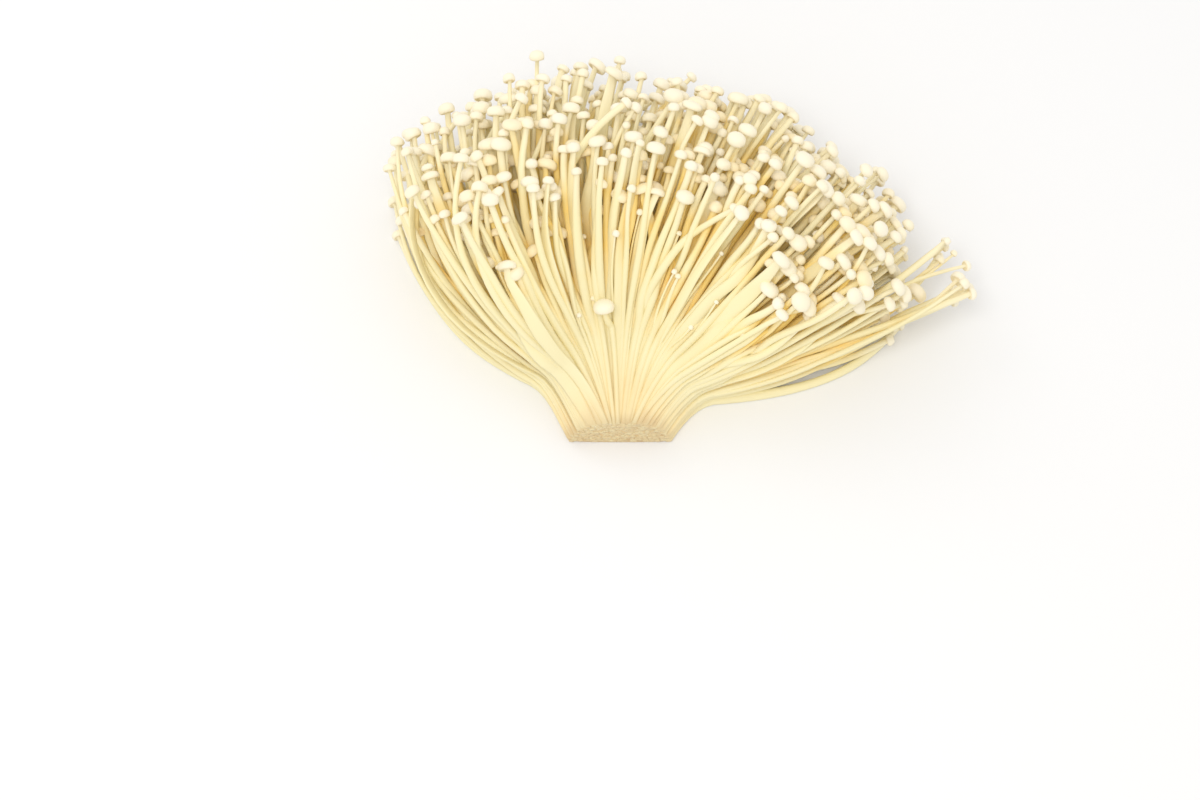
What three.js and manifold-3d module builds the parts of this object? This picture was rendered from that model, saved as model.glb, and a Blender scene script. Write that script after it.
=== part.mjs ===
// A cluster of enoki mushrooms lying on its side, fanned out from its cut foot.
// The fused foot stands at the front, and rows of sprigs fan out of its round back.
// A sprig is a few fruit bodies, each a long stem with a small cap, grown together at their feet.
// Millimetres and degrees, +Z up, +Y from the foot to the caps, origin under the middle of the cluster.
import * as THREE from "three";
import { mergeVertices } from "three/addons/utils/BufferGeometryUtils.js";
import Module from "manifold-3d";

// Fruit bodies
const headRadius = 139; // from the growing point to the furthest row of caps
const rootRadius = 1.15; // of a stem at the foot
const stemRadius = 1.55; // where it is thickest
const upperRadius = 1.47; // further up
const neckRadius = 1.15; // just under the cap
const thickestAt = 0.36; // share of a stem's length
const upperAt = 0.68;
const capRadius = 3.2; // of a middling cap
const capSpread = 0.3; // share by which caps differ from that, either way
const capDoming = 0.95; // a cap's height as a share of its radius
const stemsPerSprig = 3;
const rootsApart = 0.75; // from the middle of a sprig to the middle of each of its stems, at the foot
const stagger = 12; // each fruit body of a sprig is shorter than the last by this
const twist = 60; // most by which a sprig is turned about itself, in degrees, either way
const joinedLength = 40; // of the solid knot in which the feet of a sprig have grown together

// The fan, in degrees from straight back
const leftSpread = 44; // of the outermost caps
const rightSpread = 73;
const leftTurnIn = 33; // the outermost sprigs leave the foot this much further out than their caps
const rightTurnIn = 15;
const lowestRow = 4.5; // rise of the bottom row's caps above the surface
const highestRow = 38;
const lowestFootRow = 6; // rise of the same rows where they leave the foot
const highestFootRow = 45;

// Rows of sprigs from the surface upwards: how many, and by how much they stop short of headRadius
const rows = [
  { sprigs: 14, shortBy: 7 },
  { sprigs: 13, shortBy: 0 },
  { sprigs: 12, shortBy: 4 },
  { sprigs: 11, shortBy: 15 },
  { sprigs: 9, shortBy: 28 },
];
const lengthSpread = 5; // a fruit body is longer or shorter than its row by up to this
const rightEdge = 0.85; // share of the fan from which the sprigs get shorter towards the right
const rightEdgeShort = 15; // the last of them by this
const strayRow = 2; // whose last sprig has one fruit body that outgrows the rest
const strayLength = 24; // by this

// The cut foot
const footSkirt = 4; // the round back of the foot runs this far past the outermost sprigs, in degrees
const neckLength = 13; // from there to its cut face
const neckWaist = 0.6; // share of the neck that stays nearly as wide as the foot
const neckBulge = 1; // by how much it is wider there than a straight taper
const cutRadius = 21; // of the cut face
const footGap = 0.3; // between the foot and each sprig
const sideGap = 0.5; // between neighbouring sprigs

// Facets
const stemSides = 5;
const footSides = 28;
const arcSteps = 10;
const pathSteps = 6; // along a fruit body's path

const wasm = await Module();
wasm.setup();

const radians = THREE.MathUtils.degToRad;

// A share from -1 to 1 that depends only on its two seeds.
function scatter(seed, channel) {
  const wave = Math.sin(seed * 12.9898 + channel * 78.233) * 43758.5453;
  return 2 * (wave - Math.floor(wave)) - 1;
}

// The unit vector at a turn from straight back and a rise from the surface.
function direction(turn, rise) {
  const level = Math.cos(radians(rise));
  return new THREE.Vector3(
    Math.sin(radians(turn)) * level,
    Math.cos(radians(turn)) * level,
    Math.sin(radians(rise)),
  );
}

// The fan's edges at the caps and where the sprigs leave the foot.
const headFan = { left: -leftSpread, right: rightSpread };
const footFan = { left: -leftSpread - leftTurnIn, right: rightSpread + rightTurnIn };

// Where a sprig stands: share runs from 0 at the left edge of a fan to 1 at its right edge.
function turnAt(share, fan) {
  return THREE.MathUtils.lerp(fan.left, fan.right, share);
}

// Angle in degrees from one sprig of a row to the next.
function pitchOf(row, fan) {
  return (fan.right - fan.left) / row.sprigs;
}

// A row's rise between its lowest and highest values.
function riseOf(index, lowest, highest) {
  return THREE.MathUtils.lerp(lowest, highest, index / (rows.length - 1));
}

// The foot is as wide as the fused feet of its most crowded sprigs need.
const sprigRootWidth = 2 * (rootsApart + rootRadius) + sideGap;
const footRowPitch = (highestFootRow - lowestFootRow) / (rows.length - 1);
const footRadius = Math.max(
  sprigRootWidth / radians(footRowPitch),
  ...rows.map((row, index) => {
    const level = Math.cos(radians(riseOf(index, lowestFootRow, highestFootRow)));
    return sprigRootWidth / (radians(pitchOf(row, footFan)) * level);
  }),
);

// A closed three.js geometry as a manifold solid.
function solidFrom(geometry) {
  const bare = geometry.clone();
  bare.deleteAttribute("normal");
  bare.deleteAttribute("uv");
  const merged = mergeVertices(bare, 1e-4);
  return new wasm.Manifold(
    new wasm.Mesh({
      numProp: 3,
      vertProperties: merged.attributes.position.array,
      triVerts: new Uint32Array(merged.index.array),
    }),
  );
}

// A manifold solid as a three.js geometry.
function geometryFrom(solid) {
  const mesh = solid.getMesh();
  const geometry = new THREE.BufferGeometry();
  geometry.setAttribute("position", new THREE.BufferAttribute(mesh.vertProperties, 3));
  geometry.setIndex(new THREE.BufferAttribute(mesh.triVerts, 1));
  geometry.computeVertexNormals();
  return geometry;
}

// The outline of a fruit body, turned about its stem: foot, stem, gills, rim and crown.
// A cap's own outline is in shares of its radius outwards and of its height upwards from the gills.
function fruitOutline(length, cap) {
  const height = capDoming * cap;
  const gills = length - height;
  const capOutline = [
    [0.92, -0.12],
    [1, 0.22],
    [0.68, 0.8],
    [0, 1],
  ];
  return [
    new THREE.Vector2(0, 0),
    new THREE.Vector2(rootRadius, 0),
    new THREE.Vector2(stemRadius, thickestAt * length),
    new THREE.Vector2(upperRadius, upperAt * length),
    new THREE.Vector2(neckRadius, gills),
    ...capOutline.map(([out, up]) => new THREE.Vector2(out * cap, gills + up * height)),
  ];
}

// Bends a shape that was turned about Y, so that its axis follows the curve.
function bendAlong(geometry, curve, length) {
  const place = geometry.attributes.position;
  const point = new THREE.Vector3();
  const up = new THREE.Vector3(0, 0, 1);
  for (let i = 0; i < place.count; i++) {
    point.fromBufferAttribute(place, i);
    const share = THREE.MathUtils.clamp(point.y / length, 0, 1);
    const along = curve.getTangentAt(share);
    const side = up.clone().addScaledVector(along, -up.dot(along)).normalize();
    const across = side.clone().cross(along);
    const centre = curve.getPointAt(share);
    centre.addScaledVector(along, point.y - share * length);
    centre.addScaledVector(side, point.x).addScaledVector(across, point.z);
    place.setXYZ(i, centre.x, centre.y, centre.z);
  }
  return geometry;
}

// A point of a sprig at a distance from the growing point, moved across and upward from its middle.
// Every sprig turns and sinks by the same law on its way out, so neighbours never cross.
function sprigPoint(sprig, distance, across, upward) {
  const out = THREE.MathUtils.clamp((distance - footRadius) / (headRadius - footRadius), 0, 1);
  const turn = THREE.MathUtils.lerp(sprig.footTurn, sprig.turn, out);
  const rise = THREE.MathUtils.lerp(sprig.footRise, sprig.rise, out);
  const ahead = direction(turn, rise);
  const above = direction(turn, rise + 90);
  const beside = ahead.clone().cross(above);
  return ahead.multiplyScalar(distance).addScaledVector(beside, across).addScaledVector(above, upward);
}

// A path out from the foot. Its place across and upward in the sprig goes evenly from one to the other.
function sprigPath(sprig, reach, atFoot, atTip, lowestTip) {
  const place = new THREE.Vector2();
  const points = [];
  for (let step = 0; step <= pathSteps; step++) {
    const share = step / pathSteps;
    const distance = THREE.MathUtils.lerp(footRadius + footGap, reach, share);
    place.lerpVectors(atFoot, atTip, share);
    const point = sprigPoint(sprig, distance, place.x, place.y);
    point.z = Math.max(point.z, lowestTip * share); // the lowest caps lie on the surface
    points.push(point);
  }
  return new THREE.CatmullRomCurve3(points);
}

// One fruit body of a sprig. Its cap stays in the sprig's own share of the head.
function fruitBody(sprig, number) {
  const seed = sprig.seed * stemsPerSprig + number;
  const cap = capRadius * (1 + capSpread * scatter(seed, 1));
  const order = (number + sprig.seed) % stemsPerSprig;
  const outgrown = sprig.hasStray && order === 0 ? strayLength : 0;
  const reach = headRadius - sprig.shortBy - stagger * order + lengthSpread * scatter(seed, 2) + outgrown;
  const around = radians(360 * (number / stemsPerSprig) + twist * scatter(sprig.seed, 3));

  const roomAcross = (reach * Math.cos(radians(sprig.rise)) * radians(sprig.pitch)) / 2;
  const roomUp = (reach * radians(sprig.rowPitch)) / 2;
  const across = Math.max(0, roomAcross - cap - sideGap) * Math.cos(around);
  const upward = Math.max(0, roomUp - cap - sideGap) * Math.sin(around);
  const atFoot = new THREE.Vector2(Math.cos(around), Math.sin(around)).multiplyScalar(rootsApart);
  const path = sprigPath(sprig, reach, atFoot, new THREE.Vector2(across, upward), cap);
  const length = path.getLength();
  const turned = new THREE.LatheGeometry(fruitOutline(length, cap), stemSides);
  return solidFrom(bendAlong(turned, path, length));
}

// The knot at a sprig's foot, which fills the space between its stems as far as they touch.
function sprigKnot(sprig) {
  const middle = new THREE.Vector2(0, 0);
  const path = sprigPath(sprig, footRadius + footGap + joinedLength, middle, middle, 0);
  const length = path.getLength();
  const outline = [
    new THREE.Vector2(0, 0),
    new THREE.Vector2(rootRadius, 0),
    new THREE.Vector2(0, length),
  ];
  return solidFrom(bendAlong(new THREE.LatheGeometry(outline, stemSides), path, length));
}

// A sprig: its fruit bodies joined where their feet have grown together.
function sprigGeometry(sprig) {
  let joined = sprigKnot(sprig);
  for (let number = 0; number < stemsPerSprig; number++) {
    joined = joined.add(fruitBody(sprig, number));
  }
  return geometryFrom(joined);
}

// The fused foot: round at the back, where the sprigs leave it, drawn in to the cut face in front,
// and flat underneath, where it rests.
function footGeometry() {
  const widest = radians(Math.max(-footFan.left, footFan.right) + footSkirt);
  const outline = [];
  for (let step = 0; step <= arcSteps; step++) {
    const angle = widest * (step / arcSteps);
    outline.push(new THREE.Vector2(footRadius * Math.sin(angle), footRadius * Math.cos(angle)));
  }
  const shoulder = outline[outline.length - 1];
  const cutPlace = shoulder.y - neckLength;
  const waist = THREE.MathUtils.lerp(shoulder.x, cutRadius, neckWaist) + neckBulge;
  outline.push(new THREE.Vector2(waist, shoulder.y - neckWaist * neckLength));
  outline.push(new THREE.Vector2(cutRadius, cutPlace));
  outline.push(new THREE.Vector2(0, cutPlace));
  outline[0].x = 0;
  const whole = solidFrom(new THREE.LatheGeometry(outline.reverse(), footSides));
  const reach = 3 * (footRadius + neckLength);
  const above = new THREE.BoxGeometry(reach, reach, reach).translate(0, 0, reach / 2);
  return geometryFrom(whole.intersect(solidFrom(above)));
}

const ivory = new THREE.MeshStandardMaterial({ color: 0xf6e9c4, roughness: 0.45, metalness: 0 });
const straw = new THREE.MeshStandardMaterial({ color: 0xe9d5a0, roughness: 0.7, metalness: 0 });

const cluster = new THREE.Group();

const foot = new THREE.Mesh(footGeometry(), straw);
foot.name = "foot";
cluster.add(foot);

rows.forEach((row, index) => {
  for (let place = 0; place < row.sprigs; place++) {
    const share = (place + 0.5) / row.sprigs;
    const atEdge = Math.max(0, (share - rightEdge) / (1 - rightEdge));
    const sprig = {
      seed: 29 * index + place + 1,
      turn: turnAt(share, headFan),
      footTurn: turnAt(share, footFan),
      rise: riseOf(index, lowestRow, highestRow),
      footRise: riseOf(index, lowestFootRow, highestFootRow),
      pitch: pitchOf(row, headFan),
      rowPitch: (highestRow - lowestRow) / (rows.length - 1),
      shortBy: row.shortBy + rightEdgeShort * atEdge,
      hasStray: index + 1 === strayRow && place + 1 === row.sprigs,
    };
    const mesh = new THREE.Mesh(sprigGeometry(sprig), ivory);
    mesh.name = `sprig_row${index + 1}_${String(place + 1).padStart(2, "0")}`;
    cluster.add(mesh);
  }
});

// The origin goes under the middle of the cluster.
const extent = new THREE.Box3().setFromObject(cluster);
const middle = extent.getCenter(new THREE.Vector3());
cluster.position.set(-middle.x, -middle.y, -extent.min.z);

export default cluster;
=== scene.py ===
"""A cluster of enoki mushrooms lying on its side, fanned out from its fused, cut foot.

Every sprig of the frame becomes a handful of fruit bodies. A fruit body is one closed surface: a
long stem carried along a path from the cut end to the cap, then the gills, the rim and the crown.
All the paths are laid first, then eased apart until neighbours only touch, then bent aside where
caps still press into each other, and then the surfaces are made round them. Metres and degrees. A
turn is measured from straight back and a rise from the surface, both about the growing point, from
which the whole fan spreads.
"""

import math

import bpy
import numpy as np
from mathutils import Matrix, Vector


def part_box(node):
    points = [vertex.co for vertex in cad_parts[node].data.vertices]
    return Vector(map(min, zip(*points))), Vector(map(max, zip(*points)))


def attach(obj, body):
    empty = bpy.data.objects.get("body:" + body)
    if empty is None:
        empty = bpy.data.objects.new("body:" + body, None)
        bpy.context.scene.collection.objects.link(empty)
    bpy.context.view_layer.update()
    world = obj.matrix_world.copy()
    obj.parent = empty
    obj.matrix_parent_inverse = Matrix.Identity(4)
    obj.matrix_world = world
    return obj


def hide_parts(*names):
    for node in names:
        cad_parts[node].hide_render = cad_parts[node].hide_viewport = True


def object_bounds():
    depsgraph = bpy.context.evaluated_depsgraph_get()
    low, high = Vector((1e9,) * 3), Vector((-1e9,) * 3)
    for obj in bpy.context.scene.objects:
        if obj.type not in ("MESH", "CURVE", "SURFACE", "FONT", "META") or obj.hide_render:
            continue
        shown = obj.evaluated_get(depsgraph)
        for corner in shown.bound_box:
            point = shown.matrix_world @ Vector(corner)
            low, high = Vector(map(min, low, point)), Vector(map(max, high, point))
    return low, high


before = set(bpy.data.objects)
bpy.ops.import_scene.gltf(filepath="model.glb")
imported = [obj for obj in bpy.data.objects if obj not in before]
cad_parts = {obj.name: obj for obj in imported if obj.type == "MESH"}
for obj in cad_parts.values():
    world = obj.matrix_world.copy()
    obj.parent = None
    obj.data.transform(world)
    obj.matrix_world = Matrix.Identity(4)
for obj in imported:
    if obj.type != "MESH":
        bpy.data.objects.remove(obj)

CAD_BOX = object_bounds()
MM = 0.001
FULL_TURN = 2 * math.pi
ANY_PHASE = 6.3  # radians, about a full turn, for waves that may start anywhere
TINY = 1e-9  # added to a distance that something is divided by
chance = np.random.default_rng(20)

# ---------------------------------------------------------------- how many, and how large

FRUIT_IN_ROW = (10, 12, 13, 14, 14)  # in each sprig of a row, from the lowest row up
PINS_IN_ROW = (1, 2, 3, 4, 5)  # thin young ones, besides those
STEM_RADIUS = (0.85 * MM, 1.3 * MM, 2.0 * MM)  # thinnest, commonest and thickest
CAP_RADIUS = (1.4 * MM, 2.7 * MM, 4.4 * MM)
CAP_HEIGHT = (1.45, 1.18, 1.0)  # the height of such caps, as shares of their radius
CAP_HEIGHT_SPREAD = (0.88, 1.12)
PIN_STEM_RADIUS = (0.5 * MM, 0.8 * MM)
PIN_CAP_RADIUS = (0.9 * MM, 1.6 * MM)
PIN_SHORTNESS = (0.2, 0.55)  # shares of the sprig's reach
CAP_ROOM = 3 * MM  # left for the cap at the end of the longest stems
SHORTEST_BY = 36 * MM  # the shortest stems of a sprig stop this far behind its longest
SHORT_RARITY = 2.1  # a higher power makes fewer short stems
RIGHT_TURNS = (5, 45)  # from the middle to the right side, where the lengths differ less
RIGHT_SHORTNESS = (1, 0.4)  # shares of SHORTEST_BY at those turns
RIBBON_SHARE = 0.12  # of the stems are flat and wide
RIBBON_WIDTH = (1.5, 2.5)
PLAIN_WIDTH = (1.0, 1.2)
CROSSING_SHARE = 0.14  # of the stems cross their neighbours on the way out
CROSSING_BEND = (1.5, 3)
PLAIN_BEND = (0.8, 1.3)

# ---------------------------------------------------------------- where they grow, in degrees

EVEN_STEPS = [0.7549, 0.5698]  # steps that spread any number of points evenly over a square
FOOT_SCATTER = 1.2
HEAD_SCATTER = [1.2, 0.8]  # of the turn and of the rise
CROSSING_SCATTER = [8, 3]
HEAD_OVERLAP = 1.15  # a sprig's caps reach this much past its own share of the head
LOWEST_FOOT = 1.5
LOWEST_TIP = 0.6
FOOT_MARGIN = 5  # from the outermost sprigs' middles to the edge of the bundle
HEAD_MARGIN = 3  # by which crossing stems may pass the outermost sprigs
NEIGHBOUR_ANGLE = 13  # between the tips of stems that may meet

# ---------------------------------------------------------------- the bundle inside the foot

KNEE = 12 * MM  # past the foot's round back, where a stem has left it
CUT_HALF_WIDTH = 19.5 * MM  # of the bundle of stems at the cut
CUT_HEIGHT = 19 * MM
CUT_ROUNDING = 0.85  # how much narrower the bundle is at its top
CUT_BASE = 1.2 * MM  # under its lowest stems
CUT_TURN, CUT_RISE = 0.35, 0.2  # shares of a stem's turn and rise that it has at the cut
KNEE_PULL = 0.8  # how straight a stem comes to the knee
LOWEST_INNER = 1.0 * MM
PATH_POINTS = 60
FOOT_STATIONS = 6

# ---------------------------------------------------------------- how the stems make room

STATION = 3.0 * MM  # between the points of a path while the stems are eased apart
STATIONS = 44
WAVES = ((0.7, 1.6 * MM), (1.6, 0.7 * MM))  # waves in a stem's length, and how wide they are
WAVE_GROWTH = 0.8
EASING_STEPS = 45
PUSH = 0.55
SMOOTHING = 0.35
HOMING = 0.01
MERGED_STRETCH = 28 * MM  # past the foot, over which the stems come free of each other
CLOSENESS = (0.5, 0.93)  # of two stems at its ends, as a share of their two radii
HELD_STATIONS = (1, 5)  # a path is held up to the first and free from the second
MEETING = 1.2 * STATION  # how far one point may be ahead of another and still meet it
UNDER_CAP = 2.5 * MM  # before its end, where a stem already counts as wide as its cap
STEM_ROOM = 1.04  # the room that a stem takes, as a share of its radius
CAP_STEPS = 60
CAP_PUSH = 0.35
CAP_BALL = 0.95  # a cap's radius as a ball, as a share of its own
# the mask for the painted shade: how closed in a stem is by its neighbours
PAINTED_SHADE_REACH = 7.5 * MM  # within which a neighbour counts towards a stem's painted shade
PAINTED_SHADE_MEETING = 2 * STATION
OPEN_SIDED = 0.5  # how one-sided the neighbours of an open stem are
SIDED_RANGE = 0.35  # and by how much less those of a closed-in one are
CROWD = 5  # neighbours that close a stem in

# ---------------------------------------------------------------- a fruit body's surface

RINGS = 17  # along a finished stem, past the foot
SIDES = 10  # round it
FOOT_SHARE = 0.66  # a stem's radius at the cut, as a share of its middle
NECK_SHARE = 0.7  # and just under the cap
STEM_SHARES = (FOOT_SHARE, 0.9, 1, NECK_SHARE + 0.06, NECK_SHARE)
STEM_PLACES = (0, 0.3, 0.55, 0.93, 1)  # where along the stem it has them
RIBBON_SHARES = (0.4, 1, 1, 0.5)  # of its flatness
RIBBON_PLACES = (0, 0.15, 0.8, 1)
RIBBON_THINNING = 0.9  # a power of its widening, by which a ribbon is thinner
RIBBON_CAP = 0.3  # how much of its ribbon's extra width a cap takes on
SWELL = 0.06
SWELLS = (6, 16)  # radians of swelling and thinning in a stem's length
THICKEST_IN_CAP = 0.8  # the most that a stem has of its cap's radius
ROLL = 0.5  # radians
CUT_UNEVENNESS = 0.25  # millimetres
CAP_LEAN = 0.16
CAP_NOD = np.array([0.0, 0.06])  # sideways and upwards
OVAL = 0.09
THREE_SIDED = 0.05
NECK_LIP = 1.02  # the cap's least width, over the neck's
POLE = 1.015  # the height of the cap's middle, over its last ring's
LOWEST_SKIN = 0.1 * MM
PROUD = 1.5 * MM  # the most that a cap stands past the model's box

# ---------------------------------------------------------------- the frame's own places

foot_low, foot_high = (np.array(corner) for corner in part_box("foot"))
FOOT_RADIUS = (foot_high[0] - foot_low[0]) / 2
GROWING_POINT = np.array([(foot_low[0] + foot_high[0]) / 2, foot_high[1] - FOOT_RADIUS, 0.0])
CUT_Y = foot_low[1]
FEET_DEPTH = 2.5 * MM  # of a sprig's own mesh, in which its feet are
STRAY_PAST = 9 * MM  # a sprig that reaches further than this past its row has a stray in it
CAP_BAND = 32 * MM  # the depth of the head, in which nearly all the caps are


def unit(vectors):
    """Vectors divided by their own length."""
    return vectors / np.linalg.norm(vectors, axis=-1, keepdims=True)


def heading(turn, rise):
    """The unit vector at a turn from +Y towards +X and a rise from the surface."""
    turn, rise = np.radians(turn), np.radians(rise)
    level = np.cos(rise)
    return np.stack([np.sin(turn) * level, np.cos(turn) * level, np.sin(rise)], -1)


def bearings(points):
    """Turn and rise of the middle of some points, as seen from the growing point."""
    x, y, z = unit(points.mean(axis=0) - GROWING_POINT)
    return np.degrees([math.atan2(x, y), math.asin(z)])


def measured_sprig(node):
    """Where a sprig of the frame leaves the foot and how far it reaches, from its own mesh."""
    mesh = bpy.data.objects[node].data
    corners = np.empty(3 * len(mesh.vertices))
    mesh.vertices.foreach_get("co", corners)
    corners = corners.reshape(-1, 3)
    distance = np.linalg.norm(corners - GROWING_POINT, axis=1)
    return {
        "node": node,
        "row": int(node.split("_")[1][3:]),
        "corners": corners,
        "distance": distance,
        "foot": bearings(corners[distance < distance.min() + FEET_DEPTH]),
        "furthest": distance.max(),
    }


def measure_head(sprig):
    """Where a sprig's caps are, without a stray that reaches far past the rest of its row."""
    row = [other["furthest"] for other in sprigs if other["row"] == sprig["row"]]
    sprig["reach"] = min(sprig["furthest"], np.median(row) + STRAY_PAST)
    distance = sprig["distance"]
    around_caps = np.abs(distance - sprig["reach"] + CAP_BAND / 2) < CAP_BAND / 2
    sprig["head"] = bearings(sprig["corners"][around_caps])
    sprig["head_distance"] = distance[around_caps].mean()


sprigs = [measured_sprig(node) for node in sorted(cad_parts) if node.startswith("sprig")]
for sprig in sprigs:
    measure_head(sprig)
ROWS = max(sprig["row"] for sprig in sprigs)
head_turns = [sprig["head"][0] for sprig in sprigs]
HEAD_TURNS = (min(head_turns) - HEAD_MARGIN, max(head_turns) + HEAD_MARGIN)
foot_turns = [sprig["foot"][0] for sprig in sprigs]
FOOT_TURN_MIDDLE = (max(foot_turns) + min(foot_turns)) / 2
FOOT_TURN_HALF = (max(foot_turns) - min(foot_turns)) / 2 + FOOT_MARGIN
FOOT_RISE_TOP = max(sprig["foot"][1] for sprig in sprigs) + FOOT_MARGIN


def row_pitch(row, end):
    """Degrees from one sprig of a row to the next, and from its row to the next row."""
    turns = [sprig[end][0] for sprig in sprigs if sprig["row"] == row]
    rises = [sprig[end][1] for sprig in sprigs]
    return np.array([np.ptp(turns) / (len(turns) - 1), np.ptp(rises) / (ROWS - 1)])


# ---------------------------------------------------------------- which fruit bodies there are


def fruit_arrays(node, foot, tip, reach, cap, stem, flat, bend):
    """Fruit bodies as one dictionary of arrays.

    `foot` and `tip` are the turn and rise at each end, `reach` is the cap's distance from the
    growing point, `flat` is a ribbon's width over its plain stem's, and `bend` is 1 for a stem that
    turns evenly and more for one that turns mostly near its cap.
    """
    tip[:, 1] = np.maximum(tip[:, 1], LOWEST_TIP)
    foot[:, 1] = np.maximum(foot[:, 1], LOWEST_FOOT)
    return {
        "node": np.array([node] * len(cap)),
        "foot": foot,
        "tip": tip,
        "reach": reach,
        "cap": cap,
        "stem": stem,
        "flat": flat,
        "bend": bend,
    }


def fruit_of(sprig):
    """The fruit bodies of one sprig, spread evenly over its share of the foot and of the head.

    A short one's cap stays on the line that it would take to the head: its turn and rise have gone
    as far from the foot's towards the head's as its reach has.
    """
    row = sprig["row"] - 1
    count = FRUIT_IN_ROW[row] + PINS_IN_ROW[row]
    pin = np.arange(count) >= FRUIT_IN_ROW[row]
    spot = (np.outer(np.arange(count), EVEN_STEPS) + chance.random(2)) % 1 - 0.5
    foot = sprig["foot"] + spot * row_pitch(sprig["row"], "foot")
    foot = foot + chance.normal(0, FOOT_SCATTER, (count, 2))

    shortest_by = SHORTEST_BY * np.interp(sprig["head"][0], RIGHT_TURNS, RIGHT_SHORTNESS)
    short = shortest_by * chance.random(count) ** SHORT_RARITY
    short[pin] = sprig["reach"] * chance.uniform(*PIN_SHORTNESS, pin.sum())
    reach = sprig["reach"] - CAP_ROOM - short
    head = sprig["head"] + spot * HEAD_OVERLAP * row_pitch(sprig["row"], "head")
    out = (reach - FOOT_RADIUS) / (sprig["head_distance"] - FOOT_RADIUS)
    tip = foot + (head - foot) * out[:, None]
    crossing = chance.random(count) < CROSSING_SHARE
    scatter = np.where(crossing[:, None], CROSSING_SCATTER, HEAD_SCATTER)
    tip += chance.normal(0, 1, (count, 2)) * scatter
    tip[:, 0] = np.clip(tip[:, 0], *HEAD_TURNS)

    pin_cap = chance.uniform(*PIN_CAP_RADIUS, count)
    cap = np.where(pin, pin_cap, chance.triangular(*CAP_RADIUS, count))
    pin_stem = chance.uniform(*PIN_STEM_RADIUS, count)
    stem = np.where(pin, pin_stem, chance.triangular(*STEM_RADIUS, count))
    ribbon = (chance.random(count) < RIBBON_SHARE) & ~pin
    ribbon_width = chance.uniform(*RIBBON_WIDTH, count)
    flat = np.where(ribbon, ribbon_width, chance.uniform(*PLAIN_WIDTH, count))
    crossing_bend = chance.uniform(*CROSSING_BEND, count)
    bend = np.where(crossing, crossing_bend, chance.uniform(*PLAIN_BEND, count))
    return fruit_arrays(sprig["node"], foot, tip, reach, cap, stem, flat, bend)


# Fruit bodies that stand out from the bunch. For each: turn and rise of its cap, its reach, its
# cap's and its stem's radius in millimetres, its width as a ribbon, its bend, and by how many
# degrees it leaves the foot away from where it would.
NOTABLE_FRUIT = (
    (-2, 38, 79, 3.4, 1.7, 1.0, 4.0, -13),  # bent across its neighbours
    (-10, 54, 48, 4.3, 1.3, 1.0, 1.0, 9),  # short, its cap low over the others
    (-8, 38, 104, 3.9, 1.5, 1.0, 1.0, 0),  # two caps in front of the crowd
    (30, 37, 106, 3.3, 1.3, 1.0, 1.0, 0),
    (27, 39, 99, 3.4, 2.0, 2.4, 1.1, -8),  # a broad ribbon
    (9, 38, 113, 3.2, 1.8, 1.7, 1.0, -3),  # and the one it is grown together with
    (-32, 34, 118, 4.4, 1.9, 2.4, 1.0, 0),  # the wide one on the left
    (71, 11, 125, 4.5, 1.8, 1.0, 1.0, 0),  # the big cap at the right edge
    (66, 10, 146, 1.5, 0.8, 1.0, 1.5, -4),  # strays past the edge, one of them bent at its end
    (61, 15, 135, 2.6, 1.0, 1.0, 1.0, 0),
    (70, 8, 150, 2.3, 1.0, 1.0, 4.0, -12),
    (-15, 23, 144, 3.0, 1.2, 1.0, 1.0, 0),  # two strays at the back
    (-21, 23, 138, 2.7, 1.1, 1.0, 1.0, 0),
)
FOOT_FOLLOWS = 0.5  # how far its foot is moved with its cap, as a share


def notable_fruit():
    """The notable fruit bodies, each given to the sprig whose caps it is nearest to."""
    heads = np.array([sprig["head"] for sprig in sprigs])
    placed = []
    for turn, rise, reach, cap, stem, flat, bend, aside in NOTABLE_FRUIT:
        tip = np.array([[turn, rise]], float)
        sprig = sprigs[np.abs(heads - tip).sum(axis=1).argmin()]
        foot = sprig["foot"] + (tip - sprig["head"]) * FOOT_FOLLOWS + [aside, 0]
        sizes = [np.array([size]) for size in (reach * MM, cap * MM, stem * MM, flat, bend)]
        placed.append(fruit_arrays(sprig["node"], foot, tip, *sizes))
    return placed


batches = [fruit_of(sprig) for sprig in sprigs] + notable_fruit()
fruit = {key: np.concatenate([batch[key] for batch in batches]) for key in batches[0]}
COUNT = len(fruit["cap"])
roundness = np.interp(fruit["cap"], CAP_RADIUS, CAP_HEIGHT)
fruit["height"] = fruit["cap"] * roundness * chance.uniform(*CAP_HEIGHT_SPREAD, COUNT)

# ---------------------------------------------------------------- paths


def points_at(path, marks):
    """Points at the given distances along each of many paths, and straight on past its end."""
    step = np.linalg.norm(np.diff(path, axis=1), axis=2)
    reached = np.concatenate([np.zeros((len(path), 1)), np.cumsum(step, axis=1)], axis=1)
    index = (reached[:, 1:-1, None] <= marks[:, None, :]).sum(axis=1)
    start = np.take_along_axis(reached, index, axis=1)
    length = np.take_along_axis(step, index, axis=1)
    share = ((marks - start) / length)[..., None]
    low = np.take_along_axis(path, index[..., None], axis=1)
    high = np.take_along_axis(path, index[..., None] + 1, axis=1)
    return low + share * (high - low)


def length_of(path):
    return np.linalg.norm(np.diff(path, axis=1), axis=2).sum(axis=1)


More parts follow.
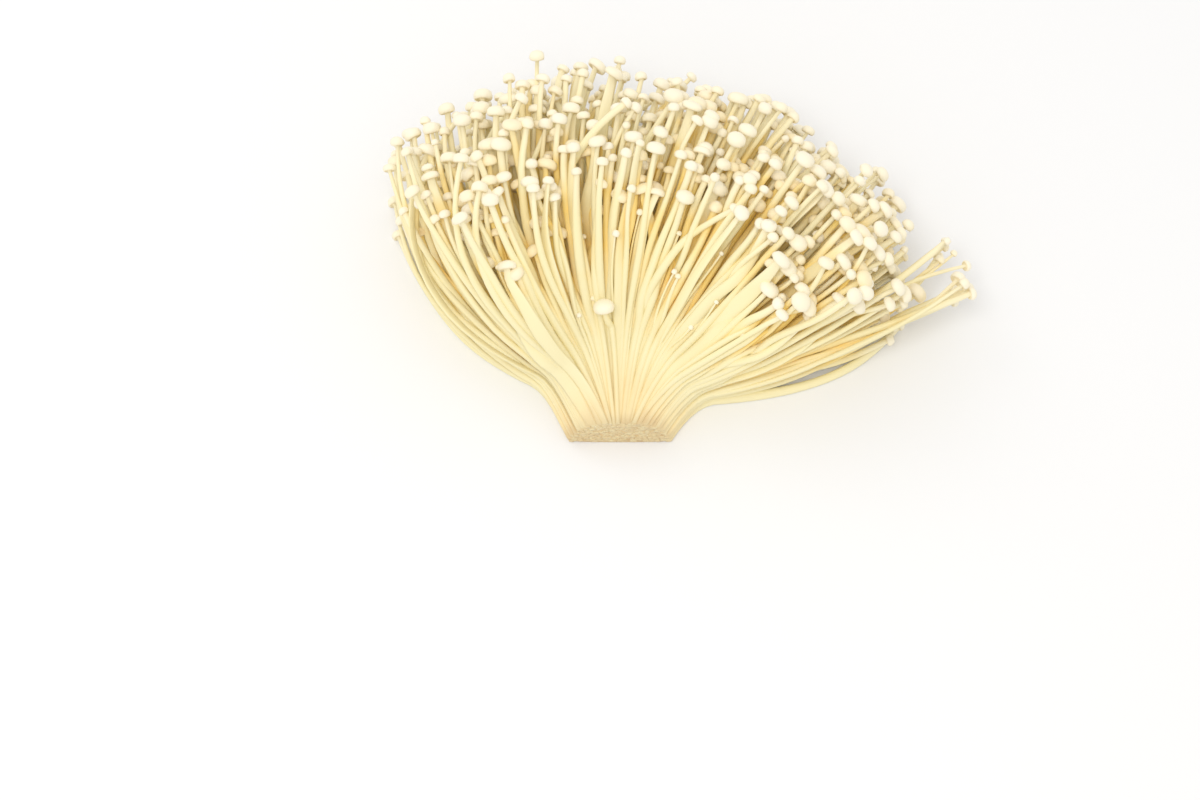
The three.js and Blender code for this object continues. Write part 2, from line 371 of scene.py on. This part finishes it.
def laid_paths():
    """Every stem's path in two stretches.

    Past the foot the path's turn and rise go from those at the foot to those at the cap, as its
    distance from the growing point grows. Inside the foot it is a cubic curve that starts square to
    the cut face, at a place that follows from the stem's own place in the fan, and joins the first
    without a kink.
    """
    t = np.linspace(0, 1, PATH_POINTS)[None, :]
    start = FOOT_RADIUS + KNEE
    distance = start + (fruit["reach"][:, None] - start) * t
    out = (distance - FOOT_RADIUS) / (fruit["reach"][:, None] - FOOT_RADIUS)
    out = (out ** fruit["bend"][:, None])[..., None]
    turn_rise = fruit["foot"][:, None] * (1 - out) + fruit["tip"][:, None] * out
    ways = heading(turn_rise[..., 0], turn_rise[..., 1])
    outer = GROWING_POINT + ways * distance[..., None]
    outer[..., 2] = np.maximum(outer[..., 2], fruit["cap"][:, None] * t**2)

    across = (fruit["foot"][:, 0] - FOOT_TURN_MIDDLE) / FOOT_TURN_HALF
    upward = fruit["foot"][:, 1] / FOOT_RISE_TOP
    width = CUT_HALF_WIDTH * np.sqrt(np.clip(1 - CUT_ROUNDING * upward**2, 0, 1))
    cut_x = GROWING_POINT[0] + across * width
    cut = np.stack([cut_x, np.full(COUNT, CUT_Y), CUT_BASE + upward * CUT_HEIGHT], 1)
    knee = outer[:, 0]
    span = np.linalg.norm(knee - cut, axis=1, keepdims=True)
    start_way = heading(CUT_TURN * fruit["foot"][:, 0], CUT_RISE * fruit["foot"][:, 1]) * span
    end_way = unit(outer[:, 1] - outer[:, 0]) * span * KNEE_PULL
    u = np.linspace(0, 1, FOOT_STATIONS + 1)[None, :, None]
    inner = (
        (2 * u**3 - 3 * u**2 + 1) * cut[:, None]
        + (u**3 - 2 * u**2 + u) * start_way[:, None]
        + (3 * u**2 - 2 * u**3) * knee[:, None]
        + (u**3 - u**2) * end_way[:, None]
    )
    return inner[:, :-1], outer


def wandering(marks, reach):
    """A slow sideways wave for each stem, nothing at the foot and widest towards the cap."""
    wave = np.zeros((COUNT, marks.shape[1], 3))
    for cycles, size in WAVES:
        phase = chance.uniform(0, FULL_TURN, (COUNT, 1, 3))
        angle = FULL_TURN * cycles * (marks / reach)[..., None] + phase
        wave += chance.normal(0, size, (COUNT, 1, 3)) * (np.sin(angle) - np.sin(phase))
    return wave * (np.clip(marks / reach, 0, 1) ** WAVE_GROWTH)[..., None]


def neighbours(path):
    """How far ahead and how far beside the first stem of each pair its second is, by station."""
    tangent = unit(np.gradient(path, axis=1))
    gap = path[second] - path[first]
    along = unit(tangent[first] + tangent[second])
    forward = (gap * along).sum(axis=2)
    sideways = gap - forward[..., None] * along
    return forward, sideways, np.linalg.norm(sideways, axis=2) + TINY


def summed(amounts, pairs, which):
    """Amounts of pairs added up for one of the two stems of each pair, station by station."""
    index = (which[:, None] * STATIONS + np.arange(STATIONS))[pairs]
    return np.bincount(index, amounts, COUNT * STATIONS).reshape(COUNT, STATIONS)


def opposed(vectors, pairs):
    """Vectors of pairs added up for every stem, for the first of a pair the other way round."""
    sums = [summed(part, pairs, second) - summed(part, pairs, first) for part in vectors.T]
    return np.stack(sums, 2)


def eased_apart(path):
    """Paths moved sideways, a little at a time, until stems that ran through each other touch.

    At each station the two stems of a pair that is closer than their two radii are each pushed by
    half of what is missing. Then every path is smoothed, drawn back a little towards where it was
    laid, and kept above the surface. Near the foot the stems may stay merged, as the real ones are.
    """
    home = path.copy()
    station = np.arange(STATIONS)
    closeness = np.interp(station * STATION, (0, MERGED_STRETCH), CLOSENESS)
    freedom = np.interp(station, HELD_STATIONS, (0, 1))[None, :, None]
    both_alive = alive[first] & alive[second]
    for _ in range(EASING_STEPS):
        forward, sideways, distance = neighbours(path)
        lacking = (thickness[first] + thickness[second]) * closeness - distance
        pushed = (lacking > 0) & both_alive & (np.abs(forward) < MEETING)
        push = 0.5 * sideways[pushed] * (lacking[pushed] / distance[pushed])[:, None]
        path = path + PUSH * opposed(push, pushed) * freedom
        middle = 0.5 * (path[:, 2:] + path[:, :-2])
        path[:, 1:-1] += SMOOTHING * (middle - path[:, 1:-1]) * freedom[:, 1:-1]
        path += HOMING * (home - path)
        path[..., 2] = np.maximum(path[..., 2], thickness)
    return path


def caps_apart(path):
    """Paths bent aside towards their caps, where two caps still press into each other.

    Each cap is taken as a ball. Two balls that are too close move apart by equal parts of what is
    missing, a little at a time, and a path follows its cap from the middle on.
    """
    ball = CAP_BALL * fruit["cap"]
    tips = points_at(path, reach_along + 0.5 * fruit["height"][:, None])[:, 0]
    place = tips.copy()
    for _ in range(CAP_STEPS):
        gap = place[second] - place[first]
        distance = np.linalg.norm(gap, axis=1) + TINY
        lacking = np.maximum(ball[first] + ball[second] - distance, 0)
        push = CAP_PUSH * gap * (lacking / distance)[:, None]
        for axis in range(3):
            away = np.bincount(second, push[:, axis], COUNT)
            place[:, axis] += away - np.bincount(first, push[:, axis], COUNT)
    follow = np.clip(2 * marks / reach_along - 1, 0, 1) ** 2
    path = path + (place - tips)[:, None] * follow[..., None]
    path[..., 2] = np.maximum(path[..., 2], thickness)
    return path


def hemmed_in(path):
    """From 0 for a stem with a free side to 1 for one with other stems all round it, by station.

    The directions from a stem to its neighbours cancel out where they are all round it, and add up
    where they are all on one side. The result is the mask for the painted shade in the stems'
    colour.
    """
    forward, sideways, distance = neighbours(path)
    near = (distance < PAINTED_SHADE_REACH) & (np.abs(forward) < PAINTED_SHADE_MEETING)
    near = near & alive[first] & alive[second]
    towards = sideways[near] / distance[near][:, None]
    ones = np.ones(len(towards))
    count = summed(ones, near, first) + summed(ones, near, second)
    one_sided = np.linalg.norm(opposed(towards, near), axis=2) / np.maximum(count, 1)
    closed = np.clip((OPEN_SIDED - one_sided) / SIDED_RANGE, 0, 1)
    return closed * np.clip(count / CROWD, 0, 1)


inner_path, outer_path = laid_paths()
reach_along = length_of(outer_path)[:, None]
marks = np.broadcast_to(np.arange(STATIONS) * STATION, (COUNT, STATIONS))
station_path = points_at(outer_path, marks) + wandering(marks, reach_along)
in_cap = marks > reach_along - UNDER_CAP
thickness = np.where(in_cap, fruit["cap"][:, None], fruit["stem"][:, None] * STEM_ROOM)
alive = marks <= reach_along + fruit["height"][:, None]
station_path[..., 2] = np.maximum(station_path[..., 2], thickness)
tip_ways = unit(points_at(outer_path, reach_along)[:, 0] - GROWING_POINT)
close_ways = tip_ways @ tip_ways.T > math.cos(math.radians(NEIGHBOUR_ANGLE))
first, second = np.nonzero(np.triu(close_ways, 1))
station_path = caps_apart(eased_apart(station_path))
# how closed in each stem is, station by station: the mask for the painted shade
crowding = hemmed_in(station_path)

ring_marks = reach_along * np.linspace(0, 1, RINGS)
inner_path[:, :, 2] = np.maximum(inner_path[:, :, 2], LOWEST_INNER)
centres = np.concatenate([inner_path, points_at(station_path, ring_marks)], axis=1)
ring_painted_shade_mask = np.stack([np.interp(ring_marks[k], marks[k], crowding[k]) for k in range(COUNT)])

# ---------------------------------------------------------------- fruit bodies

# the cap's outline from the neck to the last ring under its middle: shares of its radius outwards
# and of its height up
CAP_OUTLINE = np.array(
    [
        (0.5, 0.12),
        (0.74, -0.03),
        (0.92, 0.05),
        (1.0, 0.25),
        (0.99, 0.48),
        (0.89, 0.71),
        (0.68, 0.88),
        (0.4, 0.97),
        (0.13, 1.0),
    ]
)
GILL_RINGS = 2
STEM_RINGS = centres.shape[1]
GRID_RINGS = STEM_RINGS + len(CAP_OUTLINE)
AROUND = np.linspace(0, FULL_TURN, SIDES, endpoint=False)


def kept_inside(points):
    """Fruit bodies drawn in towards the growing point where one passes the model's own box."""
    low, high = np.array(CAD_BOX[0]) - PROUD, np.array(CAD_BOX[1]) + PROUD
    low[2] = -1  # nothing is drawn in for reaching below
    spread = points - GROWING_POINT
    over_high = spread.max(axis=1) / (high - GROWING_POINT)
    over_low = spread.min(axis=1) / (low - GROWING_POINT)
    over = np.maximum(over_high, over_low)
    return GROWING_POINT + spread / np.maximum(over, 1)[:, None]


def side_frames(centre):
    """Unit vectors along, across and above each path: above is the upright, made square to it."""
    along = unit(np.gradient(centre, axis=1))
    upright = np.array([0.0, 0.0, 1.0])
    above = unit(upright - (along @ upright)[..., None] * along)
    return along, np.cross(along, above), above


def any_phase():
    return chance.uniform(0, ANY_PHASE, (COUNT, 1))


def fruit_surfaces():
    """Points of every fruit body: rings from the cut to the crown, the cut's middle and the pole.

    Round the stem a point is the path's point plus a radius along across and above, turned by the
    stem's own roll and squeezed if the stem is a ribbon. Round the cap it is the tip plus the cap's
    outline, carried round an axis that leans a little from the stem's.
    """
    along, across, above = side_frames(centres)
    share = np.linspace(0, 1, STEM_RINGS)
    profile = np.interp(share, STEM_PLACES, STEM_SHARES)
    swell = 1 + SWELL * np.sin(share * chance.uniform(*SWELLS, (COUNT, 1)) + any_phase())
    radius = fruit["stem"][:, None] * profile * swell
    radius = np.minimum(radius, THICKEST_IN_CAP * fruit["cap"][:, None])
    extra_width = fruit["flat"][:, None] - 1
    flat = 1 + extra_width * np.interp(share, RIBBON_PLACES, RIBBON_SHARES)

    roll = chance.normal(0, ROLL, (COUNT, 1, 1))
    roll = roll + chance.normal(0, ROLL, (COUNT, 1, 1)) * share[None, :, None]
    wide = (radius * flat)[..., None] * np.cos(AROUND)
    thin = (radius / flat**RIBBON_THINNING)[..., None] * np.sin(AROUND)
    sideways = (wide * np.cos(roll) - thin * np.sin(roll))[..., None]
    upwards = (wide * np.sin(roll) + thin * np.cos(roll))[..., None]
    stem = centres[:, :, None] + sideways * across[:, :, None] + upwards * above[:, :, None]

    # the first ring is slid along the stem to the cut face
    cut = CUT_Y + chance.uniform(-CUT_UNEVENNESS, CUT_UNEVENNESS, (COUNT, 1)) * MM
    slide = (cut - stem[:, 0, :, 1]) / along[:, 0, 1][:, None]
    stem[:, 0] += slide[..., None] * along[:, 0][:, None]

    lean = chance.normal(0, CAP_LEAN, (COUNT, 2)) + CAP_NOD
    axis = unit(along[:, -1] + lean[:, :1] * across[:, -1] + lean[:, 1:] * above[:, -1])
    broad = np.cos(roll[:, -1]) * across[:, -1] + np.sin(roll[:, -1]) * above[:, -1]
    cap_across = unit(broad - (broad * axis).sum(axis=1, keepdims=True) * axis)
    cap_above = np.cross(cap_across, axis)
    lobes = 1 + chance.uniform(0, OVAL, (COUNT, 1)) * np.cos(2 * AROUND + any_phase())
    lobes += chance.uniform(0, THREE_SIDED, (COUNT, 1)) * np.cos(3 * AROUND + any_phase())
    lobes *= 1 + RIBBON_CAP * extra_width * np.cos(AROUND) ** 2
    out = CAP_OUTLINE[:, 0] * fruit["cap"][:, None]
    out = np.maximum(out, radius[:, -1:] * NECK_LIP)
    up = CAP_OUTLINE[:, 1] * fruit["height"][:, None]
    cosine, sine = np.cos(AROUND)[None, :, None], np.sin(AROUND)[None, :, None]
    ring = cosine * cap_across[:, None] + sine * cap_above[:, None]
    cap = (
        centres[:, -1][:, None, None]
        + (out[:, :, None] * lobes[:, None])[..., None] * ring[:, None]
        + up[:, :, None, None] * axis[:, None, None]
    )
    pole = centres[:, -1] + axis * (fruit["height"] * POLE)[:, None]
    cut_middle = stem[:, 0].mean(axis=1)
    rings = np.concatenate([stem, cap], axis=1).reshape(COUNT, -1, 3)
    points = kept_inside(np.concatenate([rings, cut_middle[:, None], pole[:, None]], axis=1))
    points[..., 2] = np.maximum(points[..., 2], LOWEST_SKIN)
    return points


fruit_points = fruit_surfaces()


def ring_faces(rings, sides):
    """The corners of every four-sided face between rings: two on one ring, two on the next."""
    ring, side = np.meshgrid(np.arange(rings - 1), np.arange(sides), indexing="ij")
    here, there = ring * sides, (ring + 1) * sides
    after = (side + 1) % sides
    return here + side, here + after, there + after, there + side


def fruit_faces(count):
    """Faces of many fruit bodies: four-sided ones between rings, and a fan at each end."""
    corners = GRID_RINGS * SIDES
    low, low_after, high_after, high = ring_faces(GRID_RINGS, SIDES)
    quads = np.stack([low, high, high_after, low_after], -1).reshape(-1, 4)
    side = np.arange(SIDES)
    after = (side + 1) % SIDES
    top = (GRID_RINGS - 1) * SIDES
    start_fan = np.stack([np.full(SIDES, corners), side, after], 1)
    pole_fan = np.stack([top + side, np.full(SIDES, corners + 1), top + after], 1)
    triangles = np.concatenate([start_fan, pole_fan])
    offset = (np.arange(count) * (corners + 2))[:, None, None]
    return (quads + offset).reshape(-1, 4), (triangles + offset).reshape(-1, 3)


def mesh_of(name, points, quads, triangles):
    """A smooth mesh object from arrays of points, four-sided faces and three-sided faces."""
    mesh = bpy.data.meshes.new(name)
    loops = np.concatenate([quads.ravel(), triangles.ravel()])
    sizes = np.concatenate([np.full(len(quads), 4), np.full(len(triangles), 3)])
    mesh.vertices.add(len(points))
    mesh.vertices.foreach_set("co", points.ravel())
    mesh.loops.add(len(loops))
    mesh.loops.foreach_set("vertex_index", loops)
    mesh.polygons.add(len(sizes))
    mesh.polygons.foreach_set("loop_start", np.concatenate([[0], np.cumsum(sizes)[:-1]]))
    mesh.polygons.foreach_set("use_smooth", np.ones(len(sizes), dtype=bool))
    mesh.update(calc_edges=True)
    mesh.validate()
    piece = bpy.data.objects.new(name, mesh)
    bpy.context.scene.collection.objects.link(piece)
    return piece


def give_values(piece, name, values):
    """A number or a vector for each corner of a piece, for its material to read."""
    kind, field = ("FLOAT", "value") if values.ndim == 1 else ("FLOAT_VECTOR", "vector")
    piece.data.attributes.new(name, kind, "POINT").data.foreach_set(field, values.ravel())


def with_ends(values, start, end):
    """Ring values of fruit bodies, one row each, with a value for the cut's middle and the pole."""
    rows = values.reshape((len(values), -1) + values.shape[3:])
    return np.concatenate([rows, start[:, None], end[:, None]], axis=1)


# ---------------------------------------------------------------- materials


class Wire:
    """A value in a material. Arithmetic on it adds Math nodes to the material."""

    def __init__(self, material, socket):
        self.material = material
        self.socket = socket

    def math(self, operation, first, second):
        sockets = {0: first, 1: second}
        return self.material.node("ShaderNodeMath", {"operation": operation}, sockets)

    def __add__(self, other):
        return self.math("ADD", self, other)

    def __radd__(self, other):
        return self.math("ADD", other, self)

    def __sub__(self, other):
        return self.math("SUBTRACT", self, other)

    def __rsub__(self, other):
        return self.math("SUBTRACT", other, self)

    def __mul__(self, other):
        return self.math("MULTIPLY", self, other)

    def __rmul__(self, other):
        return self.math("MULTIPLY", other, self)

    def __pow__(self, other):
        return self.math("POWER", self, other)


class Finish:
    """A material and the one method that adds nodes to it."""

    def __init__(self, name):
        self.made = bpy.data.materials.new(name)
        self.made.use_nodes = True
        self.tree = self.made.node_tree
        self.surface = self.tree.nodes["Principled BSDF"]

    def node(self, kind, settings, sockets, output=0):
        """A node of a kind, with its settings made first and then its sockets set or linked."""
        node = self.tree.nodes.new(kind)
        for key, value in settings.items():
            if key == "stops":
                while len(node.color_ramp.elements) < len(value):
                    node.color_ramp.elements.new(0.5)
                for element, (place, color) in zip(node.color_ramp.elements, value):
                    element.position = place
                    element.color = color
            else:
                setattr(node, key, value)
        for key, value in sockets.items():
            self.plug(node.inputs[key], value)
        return Wire(self, node.outputs[output])

    def plug(self, socket, value):
        if isinstance(value, Wire):
            self.tree.links.new(value.socket, socket)
        else:
            socket.default_value = value

    def value_of(self, name, output="Fac"):
        """A value that the piece's own corners carry."""
        return self.node("ShaderNodeAttribute", {"attribute_name": name}, {}, output)

    def object_place(self):
        return self.node("ShaderNodeTexCoord", {}, {}, "Object")

    def ramp(self, share, stops):
        return self.node("ShaderNodeValToRGB", {"stops": stops}, {"Fac": share})

    def blend(self, share, first, second):
        """The first colour where the share is 0 and the second where it is 1."""
        sockets = {0: share, 6: first, 7: second}
        return self.node("ShaderNodeMix", {"data_type": "RGBA"}, sockets, 2)

    def noise(self, place, scale, detail):
        sockets = {"Vector": place, "Scale": scale, "Detail": detail}
        return self.node("ShaderNodeTexNoise", {}, sockets)

    def bump(self, height, strength, distance):
        sockets = {"Strength": strength, "Distance": distance, "Height": height}
        return self.node("ShaderNodeBump", {}, sockets)

    def finish(self, **sockets):
        for name, value in sockets.items():
            self.plug(self.surface.inputs[name.replace("_", " ").title()], value)
        return self.made


def linear(red, green, blue):
    """A colour as it is usually written, 0 to 255, in the linear light that shaders use."""
    parts = (part / 255 for part in (red, green, blue))
    light = (s / 12.92 if s <= 0.04045 else ((s + 0.055) / 1.055) ** 2.4 for s in parts)
    return (*light, 1)


FOOT_BROWN = linear(206, 166, 108)
CUT_TAN = linear(216, 180, 122)
FOOT_STRAW = linear(240, 212, 150)
LOWER_STEM = linear(243, 230, 176)
UPPER_STEM = linear(249, 235, 174)
CAP_CREAM = linear(253, 244, 219)
CAP_CENTRE = linear(252, 239, 198)
GILL_SHADE = linear(246, 226, 176)
PAINTED_SHADE_LOW = linear(250, 204, 104)  # painted shade: the warm shadow on stems with others all round them, near the foot
PAINTED_SHADE_HIGH = linear(253, 216, 112)  # and painted shade among the caps
FLESH_IOR = 1.38
FLESH_ROUGHNESS = 0.5
CAP_SMOOTHER = 0.12
FIBRE_ROUGHER = 0.1
PATCH_SHIFT = 0.12  # how far the patches carry a stem's colours up or down it, as a share
FIBRE_PALER = 0.35
TONE_SPREAD = 0.4  # from one fruit body to the next
CAP_PATCHES = 0.4
PAINTED_SHADE_ONSET = 1.4  # a higher power keeps the painted shade to the most closed-in stems
# how much of the painted shade the caps take on
CAP_PAINTED_SHADE = 0.45
GILL_STRENGTH = 0.7
CAP_BUMPS = 0.15
FIBRE_STRETCH = 2.5  # the fibres' pattern in a stem's length
FIBRE_STARTS = (0, 90)  # places in the pattern where a stem may begin


def fruit_finish():
    """Ivory stems that yellow towards the foot, with fine fibres along them, and smooth pale caps.

    Stems with others all round them, and their caps a little, get a warmer and deeper yellow.
    This is painted shade: the warm shadow in the gaps of the bunch, put into the colour as the
    light that has come through their neighbours would look, not a colour of the flesh.
    """
    made = Finish("enoki_fruit")
    made.surface.inputs["IOR"].default_value = FLESH_IOR
    along = made.value_of("along")
    cap = made.value_of("cap")
    gill = made.value_of("gill")
    tone = made.value_of("tone")
    crowding = made.value_of("crowding")
    fibres = made.noise(made.value_of("fibre", "Vector"), scale=3.2, detail=3.0)
    patches = made.noise(made.object_place(), scale=90.0, detail=2.0)

    stops = [(0.0, CUT_TAN), (0.07, FOOT_STRAW), (0.22, LOWER_STEM)]
    stops += [(0.8, UPPER_STEM), (1.0, CAP_CENTRE)]
    stem = made.ramp(along + PATCH_SHIFT * (patches - 0.5), stops)
    stem = made.blend(FIBRE_PALER * fibres + TONE_SPREAD * tone, stem, LOWER_STEM)
    crown = made.blend(CAP_PATCHES * patches + TONE_SPREAD * tone, CAP_CREAM, CAP_CENTRE)
    # painted shade: closed-in stems and caps are given the warm shadow of the bunch's gaps
    painted_shade = made.blend(along, PAINTED_SHADE_LOW, PAINTED_SHADE_HIGH)
    stem = made.blend(crowding**PAINTED_SHADE_ONSET, stem, painted_shade)
    crown = made.blend(CAP_PAINTED_SHADE * crowding, crown, PAINTED_SHADE_HIGH)
    colour = made.blend(cap, stem, crown)
    colour = made.blend(GILL_STRENGTH * gill, colour, GILL_SHADE)
    height = fibres * (1 - cap) + CAP_BUMPS * patches
    return made.finish(
        base_color=colour,
        roughness=FLESH_ROUGHNESS - CAP_SMOOTHER * cap + FIBRE_ROUGHER * fibres,
        normal=made.bump(height, strength=0.25, distance=0.2 * MM),
    )


fruit_material = fruit_finish()

# ---------------------------------------------------------------- pieces

along_ring = np.concatenate([np.linspace(0, 1, STEM_RINGS), np.ones(len(CAP_OUTLINE))])
cap_ring = np.concatenate([np.zeros(STEM_RINGS), np.ones(len(CAP_OUTLINE))])
gill_ring = np.zeros(GRID_RINGS)
gill_ring[STEM_RINGS : STEM_RINGS + GILL_RINGS] = 1


def fruit_piece(node):
    """The fruit bodies that stand for one sprig of the frame, as one piece."""
    members = np.nonzero(fruit["node"] == node)[0]
    count = len(members)
    points = fruit_points[members].reshape(-1, 3)
    piece = mesh_of(f"fruit_{node}", points, *fruit_faces(count))
    shape = (count, GRID_RINGS, SIDES)
    ones = np.ones(count)
    for name, values, start, end in (
        ("along", along_ring, 0, 1),
        ("cap", cap_ring, 0, 1),
        ("gill", gill_ring, 0, 0),
    ):
        spread = np.broadcast_to(values[None, :, None], shape)
        give_values(piece, name, with_ends(spread, start * ones, end * ones).ravel())
    # painted shade: how closed in each stem ring is, each cap taking its last ring's; the material
    # deepens the yellow there
    painted_shade = np.zeros(shape)
    painted_shade[:, FOOT_STATIONS:STEM_RINGS] = ring_painted_shade_mask[members][:, :, None]
    painted_shade[:, STEM_RINGS:] = ring_painted_shade_mask[members][:, -1:, None]
    give_values(piece, "crowding", with_ends(painted_shade, 0 * ones, 0 * ones).ravel())
    give_values(piece, "tone", np.repeat(chance.random(count), GRID_RINGS * SIDES + 2))
    fibre = np.empty(shape + (3,))
    fibre[..., 0] = np.cos(AROUND)
    fibre[..., 1] = np.sin(AROUND)
    begin = chance.uniform(*FIBRE_STARTS, (count, 1))
    fibre[..., 2] = (along_ring[None, :] * FIBRE_STRETCH + begin)[..., None]
    fibre = with_ends(fibre, fibre[:, 0, 0], fibre[:, -1, 0])
    give_values(piece, "fibre", fibre.reshape(-1, 3))
    piece.data.materials.append(fruit_material)
    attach(piece, "root")
    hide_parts(node)


for sprig in sprigs:
    fruit_piece(sprig["node"])

# ---------------------------------------------------------------- the foot

CORE_STEPS = 40
CORE_SIDES = 144
CORE_BACK = 0.9  # how far behind the growing point it ends, as a share of the foot's radius
CORE_PLACES = (0, 0.12, 0.35)  # from the cut face to the back
CORE_SIZES = (0.73, 0.78, 0.9)  # shares of the foot's radius there
CORE_HEIGHT_PLACES = (0, 0.3, 0.6, 1)
CORE_HEIGHTS = (0.74, 0.6, 0.6, 0.6)  # shares of its own size
UNDERSIDE = 0.16  # the depth of its nearly flat underside, as a share of its size
UNDERSIDE_SQUARENESS = 0.35
CORE_BASE = 0.3 * MM
RIDGES = 23
RIDGE_HEIGHT = 0.035


def foot_body():
    """The fused flesh between the stems at the foot, from the cut face to the round back.

    A cross-section is a flattened half oval, round above and nearly flat below, and its size
    follows a line from the cut face over the widest part and in to a point at the back. Ridges run
    along it, between a few slow lumps.
    """
    s = np.linspace(0, 1, CORE_STEPS)[:, None]
    a = np.linspace(0, FULL_TURN, CORE_SIDES, endpoint=False)[None, :]
    place = CUT_Y + (GROWING_POINT[1] + CORE_BACK * FOOT_RADIUS - CUT_Y) * s
    back = np.clip((place - GROWING_POINT[1]) / (CORE_BACK * FOOT_RADIUS), 0, 1)
    size = np.interp(s, CORE_PLACES, CORE_SIZES) * np.sqrt(1 - back**2)
    ridges = RIDGE_HEIGHT * np.abs(np.sin(RIDGES * a + 3 * np.sin(3 * s + a)))
    ridges = ridges * np.interp(s, (0, 0.1), (0.3, 1))
    lumps = 0.02 * np.sin(3 * a + 9 * s) + 0.015 * np.sin(7 * a - 11 * s)
    size = size * (1 + ridges + lumps)
    x = GROWING_POINT[0] + FOOT_RADIUS * size * np.cos(a)
    above = np.sin(a)
    tall = FOOT_RADIUS * np.interp(s, CORE_HEIGHT_PLACES, CORE_HEIGHTS)
    under = UNDERSIDE * FOOT_RADIUS * size
    z = np.where(above > 0, tall * size * above, -under * np.abs(above) ** UNDERSIDE_SQUARENESS)
    z = z + under + CORE_BASE
    points = np.stack([x, np.broadcast_to(place, x.shape), z], -1)
    quads = np.stack(ring_faces(CORE_STEPS, CORE_SIDES), -1).reshape(-1, 4)
    side = np.arange(CORE_SIDES)
    after = (side + 1) % CORE_SIDES
    top = (CORE_STEPS - 1) * CORE_SIDES
    corners = CORE_STEPS * CORE_SIDES
    cut_fan = np.stack([np.full(CORE_SIDES, corners), after, side], 1)
    back_fan = np.stack([np.full(CORE_SIDES, corners + 1), top + side, top + after], 1)
    ends = np.stack([points[0].mean(axis=0), points[-1].mean(axis=0)])
    points = np.concatenate([points.reshape(-1, 3), ends])
    return points, quads, np.concatenate([cut_fan, back_fan])


def foot_finish():
    """Straw-coloured fused flesh, mottled, a little browner in its hollows."""
    made = Finish("enoki_foot")
    patches = made.noise(made.object_place(), scale=120.0, detail=4.0)
    grains = made.noise(made.object_place(), scale=900.0, detail=3.0)
    return made.finish(
        base_color=made.ramp(patches, [(0.3, FOOT_BROWN), (0.45, CUT_TAN), (0.65, FOOT_STRAW)]),
        roughness=0.62 + 0.15 * grains,
        normal=made.bump(grains + patches, strength=0.5, distance=0.3 * MM),
    )


foot_piece = mesh_of("fused_foot", *foot_body())
foot_piece.data.materials.append(foot_finish())
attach(foot_piece, "root")
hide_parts("foot")

# ---------------------------------------------------------------- stage, light and camera

VIEW_WIDTH = 0.480  # across the view, at the growing point
VIEW_LEFT = 8 * MM  # from the growing point to the middle of the view
VIEW_UP = 4 * MM
CAMERA_RISE = 68
LENS = 85
SENSOR = 36
BRIGHT_GAMMA = 1.25  # lifts the shadows, as a bright view of pale things does
FLOOR_REACH = 4.0
FLOOR_WHITE = (0.87, 0.87, 0.87, 1)
ROOM_STRENGTH = 0.85
DAYLIGHT = (1.0, 0.99, 0.975)
WARM_DAYLIGHT = (1.0, 0.985, 0.96)


def pale_floor():
    mesh = bpy.data.meshes.new("floor")
    far = FLOOR_REACH
    corners = [(-far, -far, 0), (far, -far, 0), (far, far, 0), (-far, far, 0)]
    mesh.from_pydata(corners, [], [(0, 1, 2, 3)])
    floor = bpy.data.objects.new("floor", mesh)
    bpy.context.scene.collection.objects.link(floor)
    made = Finish("pale_floor")
    mesh.materials.append(made.finish(base_color=FLOOR_WHITE, roughness=0.6))


def soft_light(name, place, size, watts, colour):
    """A round soft lamp that shines at the middle of the cluster's footprint."""
    lamp = bpy.data.lights.new(name, "AREA")
    lamp.shape = "DISK"
    lamp.size = size
    lamp.energy = watts
    lamp.color = colour
    holder = bpy.data.objects.new(name, lamp)
    holder.location = place
    holder.rotation_euler = (-Vector(place)).to_track_quat("-Z", "Y").to_euler()
    bpy.context.scene.collection.objects.link(holder)


def room_light():
    world = bpy.data.worlds.new("room")
    world.use_nodes = True
    background = world.node_tree.nodes["Background"]
    background.inputs["Color"].default_value = (*DAYLIGHT, 1)
    background.inputs["Strength"].default_value = ROOM_STRENGTH
    bpy.context.scene.world = world


def aimed_camera():
    """A camera that looks down at the cluster, with the growing point a little below the middle."""
    rise = math.radians(CAMERA_RISE)
    back = Vector((0, -math.cos(rise), math.sin(rise)))
    up = Vector((0, math.sin(rise), math.cos(rise)))
    middle = Vector(GROWING_POINT) + Vector((-VIEW_LEFT, 0, 0)) + up * VIEW_UP
    camera = bpy.data.cameras.new("camera")
    camera.lens = LENS
    camera.sensor_width = SENSOR
    holder = bpy.data.objects.new("camera", camera)
    holder.location = middle + back * (VIEW_WIDTH * LENS / SENSOR)
    holder.rotation_euler = (-back).to_track_quat("-Z", "Y").to_euler()
    bpy.context.scene.collection.objects.link(holder)
    bpy.context.scene.camera = holder


pale_floor()
room_light()
soft_light("overhead", place=(-0.2, -0.38, 1.2), size=0.5, watts=4.8, colour=DAYLIGHT)
soft_light("window", place=(-0.7, 0.6, 0.9), size=0.8, watts=1.5, colour=WARM_DAYLIGHT)
aimed_camera()
bpy.context.scene.view_settings.view_transform = "Standard"
bpy.context.scene.view_settings.gamma = BRIGHT_GAMMA
